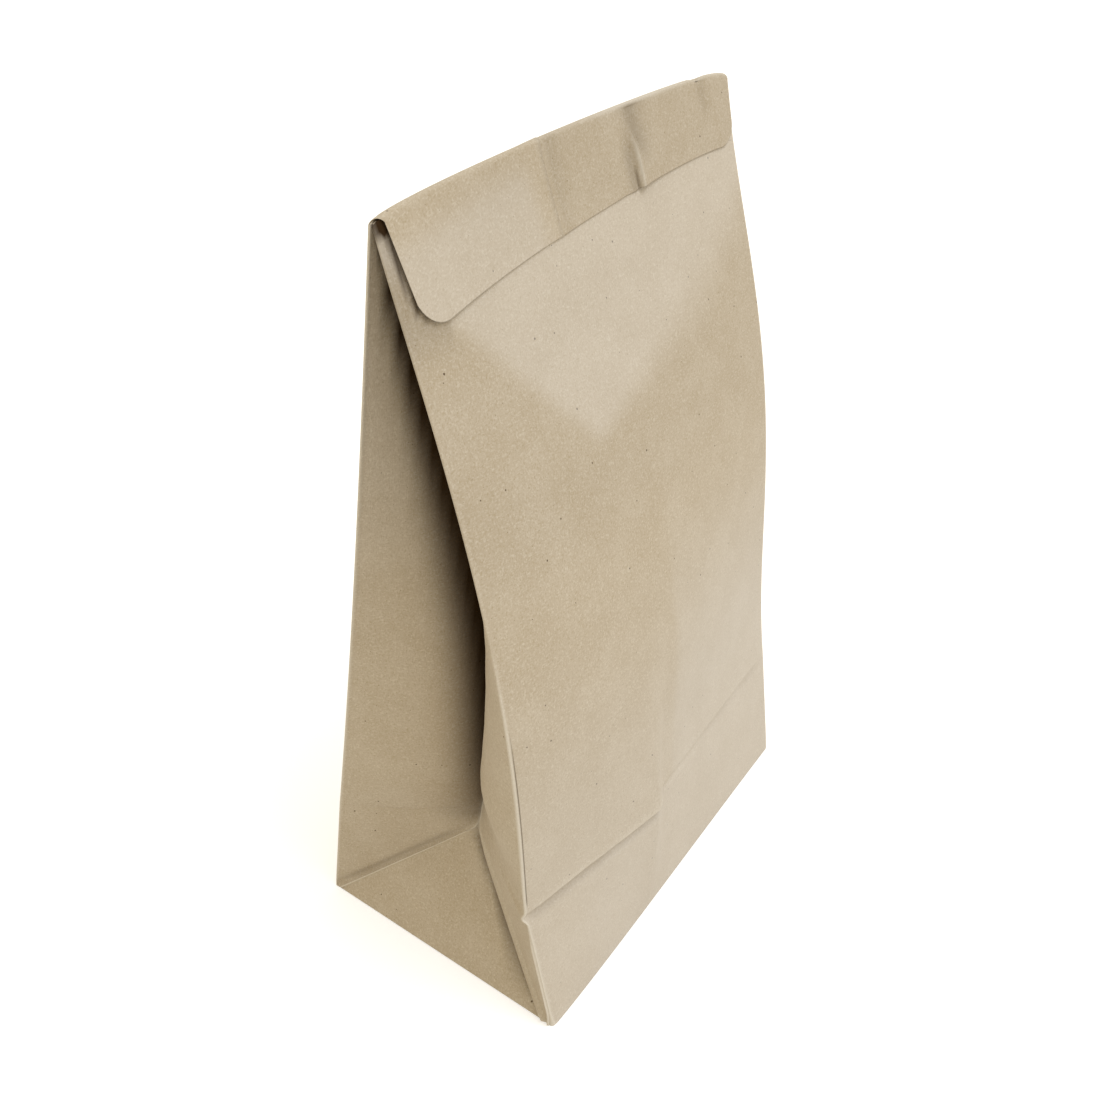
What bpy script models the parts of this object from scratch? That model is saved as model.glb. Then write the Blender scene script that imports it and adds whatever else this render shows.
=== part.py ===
"""A brown kraft paper lunch bag: one sheet, gusseted at both sides, standing on its
block bottom with its lip folded forward over the front. Metres, +Z up, front to -Y."""

import math

import bmesh
import bpy

# The sheet, drawn as one wall, and how sharply it is pressed at a fold
WALL = 0.0003
FOLD_BORE = 0.00012
VALLEY_FLAT = 0.0002

# The tube
WIDTH = 0.152
DEPTH = 0.093
FOLD_HEIGHT_LEFT = 0.2333
FOLD_HEIGHT_RIGHT = 0.2434
FOLD_PLACE_LEFT = -0.0019
FOLD_PLACE_RIGHT = -0.0041
FOLD_CROWN = 0.0044
CROWN_RISE = 0.55
CROWN_FALL = 0.3

# How the panels stand
CREASE_LEAN_LEFT = 0.0094
CREASE_LEAN_RIGHT = 0.0069
BACK_LEAN = 0.0092
BACK_BOW = 0.0011
FRONT_BOW_LEFT = 0.0081
FRONT_BOW_RIGHT = 0.0068
BOW_LOW_LEFT = 1.2
BOW_HIGH_LEFT = 1.3
BOW_LOW_RIGHT = 2.3
BOW_HIGH_RIGHT = 1.95
CREASE_SWELL = 0.0100
SWELL_PEAK = 0.38
DENT_END = 0.45
DENT_DEPTH = 0.0039
DENT_FADE = 0.25
SWELL_LOW = 1.1
SWELL_HIGH = 0.9
SWELL_FADE = 1.6
BACK_SWELL = 0.0035
GUSSET_BOW_FRONT = 0.0065
GUSSET_BOW_BACK = 0.0030
CORNER_STRIP_FRONT = 0.0030
CORNER_STRIP_BACK = 0.0018

# The lip that is folded over
LIP_LENGTH_LEFT = 0.0242
LIP_LENGTH_RIGHT = 0.0185
LIP_HOLLOW = 0.0010
LIP_INSET_LEFT = 0.0010
LIP_INSET_RIGHT = 0.0014
LIP_SKEW_LEFT = 0.12
LIP_SKEW_RIGHT = 0.045
LIP_CORNER = 0.0090
ROLL_SLACK = 0.0004
LIP_GAP = 0.0004
LIP_LIFT = 0.0009

# The glued outer flap under the bottom
BOTTOM_FLAP_REACH = 0.060
BOTTOM_FLAP_INSET = 0.0008

# Facets
CORNER_STEPS = 4
BACK_STEPS = 10
FRONT_STEPS_LEFT = 5
FRONT_STEPS_RIGHT = 7
HALF_GUSSET_STEPS = 4
TRIANGLE_STEPS = 3
CREASE_STEPS = 3
VALLEY_STEPS = 2
BAND_ROWS = 5
TOP_ROWS = 14
ROLL_STEPS = 6
LIP_ROWS = 3

# What follows from the sizes above
FOLD_RADIUS = FOLD_BORE + WALL / 2
STACK = 6 * FOLD_RADIUS + VALLEY_FLAT
ROLL_RADIUS = (STACK + WALL + ROLL_SLACK) / 2
HALF_GUSSET = DEPTH / 2
BASE_MIDDLE = WALL + WALL / 2
CREASE_HEIGHT = math.sqrt(HALF_GUSSET**2 - max(CREASE_LEAN_LEFT, CREASE_LEAN_RIGHT, BACK_LEAN)**2)
MEAN_FOLD_HEIGHT = (FOLD_HEIGHT_LEFT + FOLD_HEIGHT_RIGHT) / 2
CREASE_LEVEL = CREASE_HEIGHT / MEAN_FOLD_HEIGHT

KRAFT = (0.58, 0.50, 0.38, 1.0)


def mix(a, b, share):
    return a + (b - a) * share


def hump(share, rise, fall):
    """0 at both ends and 1 at its peak, which lies at rise / (rise + fall)."""
    peak = rise / (rise + fall)
    share = min(max(share, 0.0), 1.0)
    return share**rise * (1 - share)**fall / (peak**rise * (1 - peak)**fall)


def across(x):
    """0 at the left fold and 1 at the right one."""
    return x / WIDTH + 0.5


def above_crease(level):
    return (level - CREASE_LEVEL) / (1 - CREASE_LEVEL)


def mouth_height(x):
    """The mouth lies just under the roll, which slopes up to the right and dips at both ends."""
    straight = mix(FOLD_HEIGHT_LEFT, FOLD_HEIGHT_RIGHT, across(x))
    return straight + FOLD_CROWN * hump(across(x), CROWN_RISE, CROWN_FALL) - ROLL_RADIUS - WALL / 2


def height(x, level):
    if level <= CREASE_LEVEL:
        return BASE_MIDDLE + (CREASE_HEIGHT - BASE_MIDDLE) * level / CREASE_LEVEL
    return mix(CREASE_HEIGHT, mouth_height(x), above_crease(level))


def panel_edge(level, share, outward):
    """Y of the front (outward -1) or back (outward +1) panel, swell left out, at a share of the width."""
    if outward < 0:
        lean = mix(CREASE_LEAN_LEFT, CREASE_LEAN_RIGHT, share)
        bow_left = FRONT_BOW_LEFT * hump(above_crease(level), BOW_LOW_LEFT, BOW_HIGH_LEFT)
        bow_right = FRONT_BOW_RIGHT * hump(above_crease(level), BOW_LOW_RIGHT, BOW_HIGH_RIGHT)
        bow = mix(bow_left, bow_right, share)
    else:
        lean = BACK_LEAN
        bow = -BACK_BOW * hump(above_crease(level), 1, 1)
    foot = DEPTH / 2 - WALL / 2
    crease = foot - lean
    if level <= CREASE_LEVEL:
        return outward * (foot - lean * level / CREASE_LEVEL)
    t = above_crease(level)
    fold = mix(FOLD_PLACE_LEFT, FOLD_PLACE_RIGHT, share) + outward * STACK / 2
    return mix(outward * crease, fold, t) + outward * bow


def smooth(share):
    share = min(max(share, 0.0), 1.0)
    return share * share * (3 - 2 * share)


def swell(level, share, outward):
    """How far a panel stands proud of the straight line between its two side folds. The front
    is fullest left of a dent that crosses the crease, and flattens towards the mouth."""
    if outward > 0:
        return BACK_SWELL * hump(share, 1, 1) * hump(level, 1, 1)
    if share < SWELL_PEAK:
        most = CREASE_SWELL * share / SWELL_PEAK
    else:
        most = CREASE_SWELL * (1 - share) / (1 - SWELL_PEAK)
    dent = DENT_DEPTH * smooth((share - SWELL_PEAK) / (DENT_END - SWELL_PEAK))
    dent *= min(1.0, (1 - share) / (1 - DENT_END))
    if level < CREASE_LEVEL:
        return (most - dent) * level / CREASE_LEVEL
    t = above_crease(level)
    rounded = CREASE_SWELL * hump(share, SWELL_LOW, SWELL_HIGH)
    return mix(most - dent, rounded, smooth(t / DENT_FADE)) * (1 - t)**SWELL_FADE


def panel_point(x, level, outward):
    share = across(x)
    y = panel_edge(level, share, outward) + outward * swell(level, share, outward)
    return x, y, height(x, level)


def gusset_bows(level):
    """Bulge of the gusset's front and back half: full at the crease, none at the foot and the mouth."""
    if level < CREASE_LEVEL:
        rise = level / CREASE_LEVEL
    else:
        rise = 1 - above_crease(level)
    return GUSSET_BOW_FRONT * rise, GUSSET_BOW_BACK * rise


def chord(bow):
    """Straight width of a half gusset whose own width is kept when it bulges."""
    return HALF_GUSSET - (8 / 3) * bow**2 / HALF_GUSSET


def valley_place(level, share):
    """Inset and Y of the gusset's middle fold, where the two halves meet."""
    front = panel_edge(level, share, -1)
    spread = panel_edge(level, share, 1) - front
    bow_front, bow_back = gusset_bows(level)
    near, far = chord(bow_front), chord(bow_back)
    along = (near**2 - far**2 + spread**2) / (2 * spread)
    inset = math.sqrt(max(near**2 - along**2, (4 * FOLD_RADIUS)**2))
    return inset, front + along


def valley_pins(level, share):
    """Inset and Y of the gusset's two inner folds: apart at the foot, together from the apex up."""
    inset, middle = valley_place(CREASE_LEVEL, share)
    apex_level = CREASE_LEVEL * math.sqrt(max(1 - (inset / HALF_GUSSET)**2, 0.2))
    if level >= apex_level:
        inset, middle = valley_place(level, share)
        return (inset, middle - VALLEY_FLAT / 2), (inset, middle + VALLEY_FLAT / 2)
    inset, middle = valley_place(apex_level, share)
    rise = level / apex_level
    foot = 0.0
    front_foot = -DEPTH / 2 + CORNER_STRIP_FRONT
    back_foot = DEPTH / 2 - CORNER_STRIP_BACK
    front = (mix(foot, inset, rise), mix(front_foot, middle - VALLEY_FLAT / 2, rise))
    back = (mix(foot, inset, rise), mix(back_foot, middle + VALLEY_FLAT / 2, rise))
    return front, back


def pins(level):
    """The eight folds round the tube as (x, y, signed radius), front right first and anticlockwise."""
    found = []
    for side, share in ((1, 1.0), (-1, 0.0)):
        edge = side * (WIDTH / 2 - FOLD_RADIUS)
        front = (edge, panel_edge(level, share, -1) + FOLD_RADIUS, FOLD_RADIUS)
        back = (edge, panel_edge(level, share, 1) - FOLD_RADIUS, FOLD_RADIUS)
        inner = [
            (side * (WIDTH / 2 - inset), y, -FOLD_RADIUS) for inset, y in valley_pins(level, share)
        ]
        column = [front, *inner, back]
        found += column if side > 0 else column[::-1]
    return found


def tangent_angle(first, second):
    """Heading of the straight run of paper that leaves one fold and meets the next."""
    dx, dy = second[0] - first[0], second[1] - first[1]
    reach = math.hypot(dx, dy)
    return math.atan2(dy, dx) + math.asin((first[2] - second[2]) / reach)


def touch(pin, angle):
    """Where a straight run with this heading touches the fold."""
    x, y, radius = pin
    return x + radius * math.sin(angle), y - radius * math.cos(angle)


def back_shares():
    """Columns of the back panel and the lip: closer at both ends, where the lip's corners are round."""
    ends = [LIP_CORNER * (1 - math.cos(math.pi / 2 * i / CORNER_STEPS)) for i in range(CORNER_STEPS + 1)]
    flat = WIDTH - 2 * LIP_CORNER
    middle = [LIP_CORNER + flat * i / BACK_STEPS for i in range(1, BACK_STEPS)]
    return [a / WIDTH for a in ends + middle + [WIDTH - a for a in reversed(ends)]]


def front_shares():
    """Columns of the front panel: even on each side of the dent, and one step across it."""
    left = [SWELL_PEAK * i / FRONT_STEPS_LEFT for i in range(FRONT_STEPS_LEFT + 1)]
    right = [mix(DENT_END, 1.0, i / FRONT_STEPS_RIGHT) for i in range(FRONT_STEPS_RIGHT + 1)]
    return left + right


def run_shares(run):
    """Where the points of one straight run lie. Runs 3 and 7 are the back and the front panel."""
    if run == 3:
        return back_shares()[1:-1]
    if run == 7:
        return front_shares()[1:-1]
    steps = TRIANGLE_STEPS if run in (1, 5) else HALF_GUSSET_STEPS
    return [i / steps for i in range(1, steps)]


def run_bulge(run, level, share):
    """How far a point of one run stands outside the straight line between its folds."""
    bow_front, bow_back = gusset_bows(level)
    if run == 7:
        return swell(level, share, -1)
    if run == 3:
        return swell(level, 1 - share, 1)
    if run in (0, 6):
        return bow_front * hump(share, 1, 1)
    if run in (2, 4):
        return bow_back * hump(share, 1, 1)
    return 0.0


def ring(level):
    """One turn round the tube at a level: a belt run over the eight folds."""
    folds = pins(level)
    headings = [tangent_angle(folds[i], folds[(i + 1) % 8]) for i in range(8)]
    points = []
    for i, fold in enumerate(folds):
        arrives, leaves = headings[i - 1], headings[i]
        turn = (leaves - arrives) % (2 * math.pi)
        if fold[2] < 0:
            turn -= 2 * math.pi * (turn > math.pi / 4)
        elif turn > 1.75 * math.pi:
            turn -= 2 * math.pi
        steps = CREASE_STEPS if fold[2] > 0 else VALLEY_STEPS
        points += [touch(fold, arrives + turn * j / steps) for j in range(steps + 1)]
        start = touch(fold, leaves)
        end = touch(folds[(i + 1) % 8], leaves)
        for share in run_shares(i):
            out = run_bulge(i, level, share)
            points.append(
                (
                    mix(start[0], end[0], share) + out * math.sin(leaves),
                    mix(start[1], end[1], share) - out * math.cos(leaves),
                )
            )
    return [(x, y, height(x, level)) for x, y in points]


def back_panel_start():
    """Index in a ring of the back panel's first column, at the right."""
    count = 0
    for i in range(3):
        steps = CREASE_STEPS if i in (0, 3) else VALLEY_STEPS
        count += steps + 1 + len(run_shares(i))
    return count + CREASE_STEPS


def levels():
    band = [CREASE_LEVEL * i / BAND_ROWS for i in range(BAND_ROWS)]
    return band + [mix(CREASE_LEVEL, 1.0, i / TOP_ROWS) for i in range(TOP_ROWS + 1)]


def corner_cut(x):
    """How much of the lip's length its rounded corner takes at this place."""
    inside = min(WIDTH / 2 - abs(x), LIP_CORNER)
    return LIP_CORNER - math.sqrt(max(LIP_CORNER**2 - (LIP_CORNER - inside)**2, 0.0))


def lip_gap(x):
    """Clear space between lip and front panel at the lip's edge: the left end stands off."""
    return LIP_GAP + LIP_LIFT * max(0.0, 1 - 2 * across(x))**2


def lip_column(foot):
    """Points from the top of the back panel over the roll and down the front."""
    x, y, z = foot
    _, y_below, z_below = panel_point(x, 1 - 0.5 / TOP_ROWS, 1)
    lean = math.atan2(y_below - panel_point(x, 1, 1)[1], z - z_below)
    centre = (y - ROLL_RADIUS * math.cos(lean), z - ROLL_RADIUS * math.sin(lean))
    off_middle = 1 - 2 * across(x)
    inset = LIP_INSET_LEFT * max(0.0, off_middle)**2 - LIP_INSET_RIGHT * max(0.0, -off_middle)**2
    length = mix(LIP_LENGTH_LEFT, LIP_LENGTH_RIGHT, across(x)) - LIP_HOLLOW * hump(across(x), 1, 1)
    low_level = 1 - length / (mouth_height(x) - CREASE_HEIGHT) * (1 - CREASE_LEVEL)
    _, y_low, z_low = panel_point(x, low_level, -1)
    aim = (y_low - WALL - lip_gap(x) - centre[0], z_low - centre[1])
    reach = math.hypot(*aim)
    last = math.atan2(aim[1], aim[0]) - math.acos(ROLL_RADIUS / reach) + 2 * math.pi
    straight = math.sqrt(reach**2 - ROLL_RADIUS**2)
    column = []
    for i in range(1, ROLL_STEPS + 1):
        angle = mix(lean, last, i / ROLL_STEPS)
        turned = (
            x + inset * i / ROLL_STEPS,
            centre[0] + ROLL_RADIUS * math.cos(angle),
            centre[1] + ROLL_RADIUS * math.sin(angle),
        )
        column.append(turned)
    x_top, y_top, z_top = column[-1]
    skew = mix(LIP_SKEW_LEFT, LIP_SKEW_RIGHT, across(x))
    heading = last + math.pi / 2
    kept = straight * (1 - corner_cut(x) / length)
    for i in range(1, LIP_ROWS + 1):
        down = kept * i / LIP_ROWS
        hangs = (
            x_top + skew * down,
            y_top + down * math.cos(heading),
            z_top + down * math.sin(heading),
        )
        column.append(hangs)
    return column


def grid_faces(mesh, rows, closed):
    """Quads between each row of vertices and the next, facing out of the bag."""
    for lower, upper in zip(rows, rows[1:]):
        count = len(lower)
        for i in range(count if closed else count - 1):
            j = (i + 1) % count
            mesh.faces.new((lower[i], lower[j], upper[j], upper[i]))


def sheet_mesh():
    """The middle of the sheet as an open surface: bottom, tube and lip."""
    mesh = bmesh.new()
    tube = [[mesh.verts.new(p) for p in ring(level)] for level in levels()]
    grid_faces(mesh, tube, closed=True)
    mesh.faces.new(tube[0][::-1])
    first = back_panel_start()
    top = tube[-1][first : first + len(back_shares())]
    columns = [[mesh.verts.new(p) for p in lip_column(v.co)] for v in top]
    grid_faces(mesh, [top] + [list(row) for row in zip(*columns)], closed=False)
    return mesh


def kraft_material():
    material = bpy.data.materials.new("kraft_paper")
    material.use_nodes = True
    shader = material.node_tree.nodes["Principled BSDF"]
    shader.inputs["Base Color"].default_value = KRAFT
    shader.inputs["Roughness"].default_value = 0.85
    shader.inputs["Metallic"].default_value = 0.0
    return material


def bottom_flap(collection):
    """The outer glued flap of the block bottom: a flat outline whose ends run in at 45 degrees."""
    back = DEPTH / 2 - BOTTOM_FLAP_INSET
    front = back - BOTTOM_FLAP_REACH
    wide = WIDTH / 2 - BOTTOM_FLAP_INSET
    narrow = wide - min(BOTTOM_FLAP_REACH, WIDTH / 3)
    outline = [(-wide, back), (-narrow, front), (narrow, front), (wide, back)]
    mesh = bmesh.new()
    low = [mesh.verts.new((x, y, 0.0)) for x, y in outline]
    face = mesh.faces.new(low)
    raised = bmesh.ops.extrude_face_region(mesh, geom=[face])["geom"]
    lifted = [v for v in raised if isinstance(v, bmesh.types.BMVert)]
    bmesh.ops.translate(mesh, verts=lifted, vec=(0, 0, WALL + WALL / 3))
    bmesh.ops.recalc_face_normals(mesh, faces=mesh.faces)
    data = bpy.data.meshes.new("bottom_flap")
    mesh.to_mesh(data)
    mesh.free()
    flap = bpy.data.objects.new("bottom_flap", data)
    flap.hide_render = True
    flap.display_type = "WIRE"
    collection.objects.link(flap)
    return flap


def paper_bag(collection, helpers):
    mesh = sheet_mesh()
    data = bpy.data.meshes.new("paper_bag")
    mesh.to_mesh(data)
    mesh.free()
    data.materials.append(kraft_material())
    bag = bpy.data.objects.new("paper_bag", data)
    collection.objects.link(bag)
    sheet = bag.modifiers.new("sheet", "SOLIDIFY")
    sheet.thickness = WALL
    sheet.offset = 0.0
    sheet.use_even_offset = True
    glued = bag.modifiers.new("glued flap", "BOOLEAN")
    glued.operation = "UNION"
    glued.object = bottom_flap(helpers)
    return bag


def collection_named(name):
    made = bpy.data.collections.new(name)
    bpy.context.scene.collection.children.link(made)
    return made


def clear_scene():
    for thing in list(bpy.data.objects):
        bpy.data.objects.remove(thing, do_unlink=True)


clear_scene()
paper_bag(collection_named("lunch_bag"), collection_named("helpers"))
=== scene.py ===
"""A brown kraft paper lunch bag: one gusseted sheet, its folded bottom and its back seam, on a
pale studio floor. The file follows the bag as it is put together."""

import math

import bpy
import numpy as np
from mathutils import Matrix, Vector


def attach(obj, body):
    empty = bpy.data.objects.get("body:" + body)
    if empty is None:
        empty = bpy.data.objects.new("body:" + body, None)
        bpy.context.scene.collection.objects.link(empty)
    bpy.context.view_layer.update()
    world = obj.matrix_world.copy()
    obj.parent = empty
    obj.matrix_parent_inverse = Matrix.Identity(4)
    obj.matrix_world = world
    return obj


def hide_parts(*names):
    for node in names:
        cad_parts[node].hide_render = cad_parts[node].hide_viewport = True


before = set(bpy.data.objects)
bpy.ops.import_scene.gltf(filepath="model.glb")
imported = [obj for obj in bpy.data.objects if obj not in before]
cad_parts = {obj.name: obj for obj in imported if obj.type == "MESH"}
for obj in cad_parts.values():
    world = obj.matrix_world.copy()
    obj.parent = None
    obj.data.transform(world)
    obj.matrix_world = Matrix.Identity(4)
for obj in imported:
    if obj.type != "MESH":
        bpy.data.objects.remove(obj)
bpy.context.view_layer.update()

# The sheet. A lunch bag is one length of brown kraft paper glued into a tube, pleated inwards
# at both sides and folded into a block bottom. Its back is longer than its front, and that lip
# is rolled forward over the flattened mouth. Metres, the middle of the paper, front to -Y.

PAPER = 0.00014
FOLD_RADIUS = 0.00019
STACK = 0.0013
ROLL_RADIUS = 0.00115
WIDTH = 0.152
DEPTH = 0.093
HALF_GUSSET = DEPTH / 2
FOLD_HEIGHT = (0.2333, 0.2434)
FOLD_PLACE = (-0.0019, -0.0041)
FOLD_CROWN = 0.0044
FOOT = 0.00035
CREASE_LEAN = (0.0094, 0.0069)
BACK_LEAN = 0.0092
BACK_BOW = 0.0011
BACK_SWELL = 0.0035
FRONT_BOW = (0.0081, 0.0068)
CREASE_SWELL = 0.0100
FOOT_SWELL = 0.0006
FULLEST = 0.38
DENT = 0.0039
DENT_RISE = 0.07
DENT_FADE = 0.55
FACET_SLOPE = (0.10, 0.395)
FACET_BREAK = 0.016
FACET_ROUND = 0.002
FACET_BLEND = 0.0016
GUSSET_BOWS = (0.0065, 0.0030)
VALLEY_TUCK = 0.0045
VALLEY_FOOT = (0.0030, 0.0018)
VALLEY_GAP = 0.0002
CORNER_HEIGHT = 0.007
BUCKLE_BELOW = 0.0022
BUCKLE_SPREAD = 0.0013
CREASE_HEIGHT = math.sqrt(HALF_GUSSET**2 - CREASE_LEAN[0] ** 2)
CREASE_LEVEL = CREASE_HEIGHT / (sum(FOLD_HEIGHT) / 2)


def mix(a, b, share):
    return a + (b - a) * share


def smooth(share):
    share = np.clip(share, 0.0, 1.0)
    return share * share * (3 - 2 * share)


def ramp(value, start, over):
    """0 up to the start, then a smooth rise to 1."""
    return smooth((value - start) / over)


def fade(value, end, over):
    """1, then a smooth fall that reaches 0 at the end."""
    return smooth((end - value) / over)


def bell(distance, spread):
    return np.exp(-((distance / spread) ** 2))


def mark(distance, size, place, spread):
    """A ridge, or with a size below 0 a hollow, along a line at this place beside a fold."""
    return size * bell(distance - place, spread)


def hump(share, rise, fall):
    """0 at both ends and 1 at its peak, which lies at rise / (rise + fall)."""
    peak = rise / (rise + fall)
    share = min(max(share, 0.0), 1.0)
    return share**rise * (1 - share) ** fall / (peak**rise * (1 - peak) ** fall)


def lower_of(a, b, blend):
    """The smaller of two heights, with the line where they meet rounded off."""
    share = min(max(0.5 + (b - a) / (2 * blend), 0.0), 1.0)
    return mix(b, a, share) - blend * share * (1 - share) / 2


def across(x):
    """0 at the left fold and 1 at the right one."""
    return x / WIDTH + 0.5


def above_crease(level):
    return (level - CREASE_LEVEL) / (1 - CREASE_LEVEL)


def mouth_height(x):
    straight = mix(*FOLD_HEIGHT, across(x))
    return straight + FOLD_CROWN * hump(across(x), 0.55, 0.3) - ROLL_RADIUS - PAPER / 2


def height(x, level):
    if level <= CREASE_LEVEL:
        return FOOT + (CREASE_HEIGHT - FOOT) * level / CREASE_LEVEL
    return mix(CREASE_HEIGHT, mouth_height(x), above_crease(level))


def panel_edge(level, share, outward):
    """Y of the front (outward -1) or back (outward +1) panel, its swell left out."""
    t = above_crease(level)
    if outward < 0:
        lean = mix(*CREASE_LEAN, share)
        bow = mix(FRONT_BOW[0] * hump(t, 1.2, 1.3), FRONT_BOW[1] * hump(t, 2.3, 1.95), share)
    else:
        lean = BACK_LEAN
        bow = -BACK_BOW * hump(t, 1, 1)
    foot = DEPTH / 2 - PAPER / 2
    if level <= CREASE_LEVEL:
        return outward * (foot - lean * level / CREASE_LEVEL)
    fold = mix(*FOLD_PLACE, share) + outward * STACK / 2
    return mix(outward * (foot - lean), fold, t) + outward * bow


def swell(level, share, outward):
    """How far a panel stands proud of the line between its side folds. The front is fullest left
    of a dent across the crease, and a flat facet runs from its fullest point up to the mouth."""
    if outward > 0:
        return BACK_SWELL * hump(share, 1, 1) * hump(level, 1, 1)
    most = CREASE_SWELL * min(share / FULLEST, (1 - share) / (1 - FULLEST))
    dent = DENT * ramp(share, FULLEST, DENT_RISE) * min(1.0, (1 - share) / DENT_FADE)
    if level < CREASE_LEVEL:
        foot = FOOT_SWELL * hump(share, 0.6, 2.0) * (1 - level / CREASE_LEVEL)
        return (most - dent) * level / CREASE_LEVEL + foot
    t = above_crease(level)
    rounded = CREASE_SWELL * hump(share, 1.0, 1.5)
    body = mix(most - dent, rounded, smooth(t / 0.3)) * (1 - t) ** 1.1
    x = (share - 0.5) * WIDTH
    below = mouth_height(x) - height(x, level)
    past_break = math.hypot(max(below - FACET_BREAK, 0.0), FACET_ROUND) - FACET_ROUND
    plane = FACET_SLOPE[0] * below + (FACET_SLOPE[1] - FACET_SLOPE[0]) * past_break
    facet = plane - (panel_edge(1.0, share, -1) - panel_edge(level, share, -1))
    return max(lower_of(body, facet, FACET_BLEND * (1 - t) ** 0.5 + 1e-6), 0.0)


def panel_point(x, level, outward):
    share = across(x)
    y = panel_edge(level, share, outward) + outward * swell(level, share, outward)
    return x, y, height(x, level)


def gusset_bows(level):
    """How far the front and back half of a gusset bulge: most at the crease."""
    rise = level / CREASE_LEVEL if level < CREASE_LEVEL else 1 - above_crease(level)
    return GUSSET_BOWS[0] * rise, GUSSET_BOWS[1] * rise


def chord(bow):
    """Straight width of a half gusset whose own width is kept when it bulges."""
    return HALF_GUSSET - (8 / 3) * bow**2 / HALF_GUSSET


def valley_place(level, share):
    """Inset and Y of the gusset's middle fold, where its two halves meet."""
    front = panel_edge(level, share, -1)
    spread = panel_edge(level, share, 1) - front
    near, far = (chord(bow) for bow in gusset_bows(level))
    along = (near**2 - far**2 + spread**2) / (2 * spread)
    return math.sqrt(max(near**2 - along**2, (4 * FOLD_RADIUS) ** 2)), front + along


def valley_pins(level, share):
    """The gusset's two inner folds: apart at the foot, together from the apex up. Near the mouth
    they follow the slant of the panels that they lie between."""
    inset = valley_place(CREASE_LEVEL, share)[0]
    apex = CREASE_LEVEL * math.sqrt(max(1 - (inset / HALF_GUSSET) ** 2, 0.2))
    inset, middle = valley_place(max(level, apex), share)
    own_share = abs(share - inset / WIDTH)
    shift = mix(*FOLD_PLACE, own_share) - mix(*FOLD_PLACE, share)
    middle += shift * max(above_crease(level), 0.0)
    rise = min(level / apex, 1.0)
    front = mix(VALLEY_FOOT[0] - DEPTH / 2, middle - VALLEY_GAP / 2, rise)
    back = mix(DEPTH / 2 - VALLEY_FOOT[1], middle + VALLEY_GAP / 2, rise)
    return (inset * rise, front), (inset * rise, back)


def pins(level):
    """The eight folds round the tube as (x, y, signed radius), front right first, anticlockwise.
    They are blunt at the foot, the front left one most, and there the crease has buckled, so
    that fold steps in and out."""
    z = height(0.0, level)
    found = []
    for side, share in ((1, 1.0), (-1, 0.0)):
        foot = max(0.0, 1 - z / CORNER_HEIGHT) ** 2
        blunt = FOLD_RADIUS + (0.0011 if side < 0 else 0.0004) * foot
        sharp = FOLD_RADIUS + 0.0003 * foot
        buckle = (side < 0) * bell(z - (CREASE_HEIGHT - BUCKLE_BELOW), BUCKLE_SPREAD)
        x_front = side * (WIDTH / 2 - blunt) - 0.0009 * buckle
        front = (x_front, panel_edge(level, share, -1) + blunt + 0.0010 * buckle, blunt)
        back = (side * (WIDTH / 2 - sharp), panel_edge(level, share, 1) - sharp, sharp)
        inner = [(side * (WIDTH / 2 - x), y, -FOLD_RADIUS) for x, y in valley_pins(level, share)]
        column = [front, *inner, back]
        found += column if side > 0 else column[::-1]
    return found


def heading(first, second):
    """Direction of the flat paper that leaves one fold and touches the next."""
    dx, dy = second[0] - first[0], second[1] - first[1]
    return math.atan2(dy, dx) + math.asin((first[2] - second[2]) / math.hypot(dx, dy))


def touch(pin, angle):
    """Where paper of this direction touches a fold."""
    return pin[0] + pin[2] * math.sin(angle), pin[1] - pin[2] * math.cos(angle)


NEAR_FOLD = (0.0004, 0.0008, 0.0013, 0.0020, 0.0031)
NEAR_FOOT_FOLD = (0.0005, 0.0011, 0.0018, 0.0027, 0.0038, 0.0054)


def run_shares(width, step, near=NEAR_FOLD):
    """Places across one flat run of paper: close together beside its two folds, even between."""
    count = round((width - 2 * near[-1]) / step)
    even = [mix(near[-1], width - near[-1], i / count) for i in range(1, count)]
    return [a / width for a in [*near, *even, *(width - b for b in reversed(near))]]


LIP_CORNER = 0.0090
rounding = [LIP_CORNER * (1 - math.cos(math.pi / 2 * i / 9)) / WIDTH for i in range(1, 10)]
level_part = [mix(LIP_CORNER, WIDTH - LIP_CORNER, i / 56) / WIDTH for i in range(1, 56)]
kink_part = [0.368 + 0.0033 * i for i in range(11)]
level_part = [a for a in level_part if not 0.366 < a < 0.403]
level_part = sorted(level_part + kink_part)
RUNS = {3: rounding + level_part + [1 - a for a in reversed(rounding)]}
RUNS[7] = run_shares(WIDTH, 0.0019)
RUNS |= {i: run_shares(HALF_GUSSET, 0.0030) for i in (0, 2, 4, 6)}
RUNS |= {i: run_shares(DEPTH, 0.0090, NEAR_FOOT_FOLD) for i in (1, 5)}
FOLD_STEPS = 4


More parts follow.
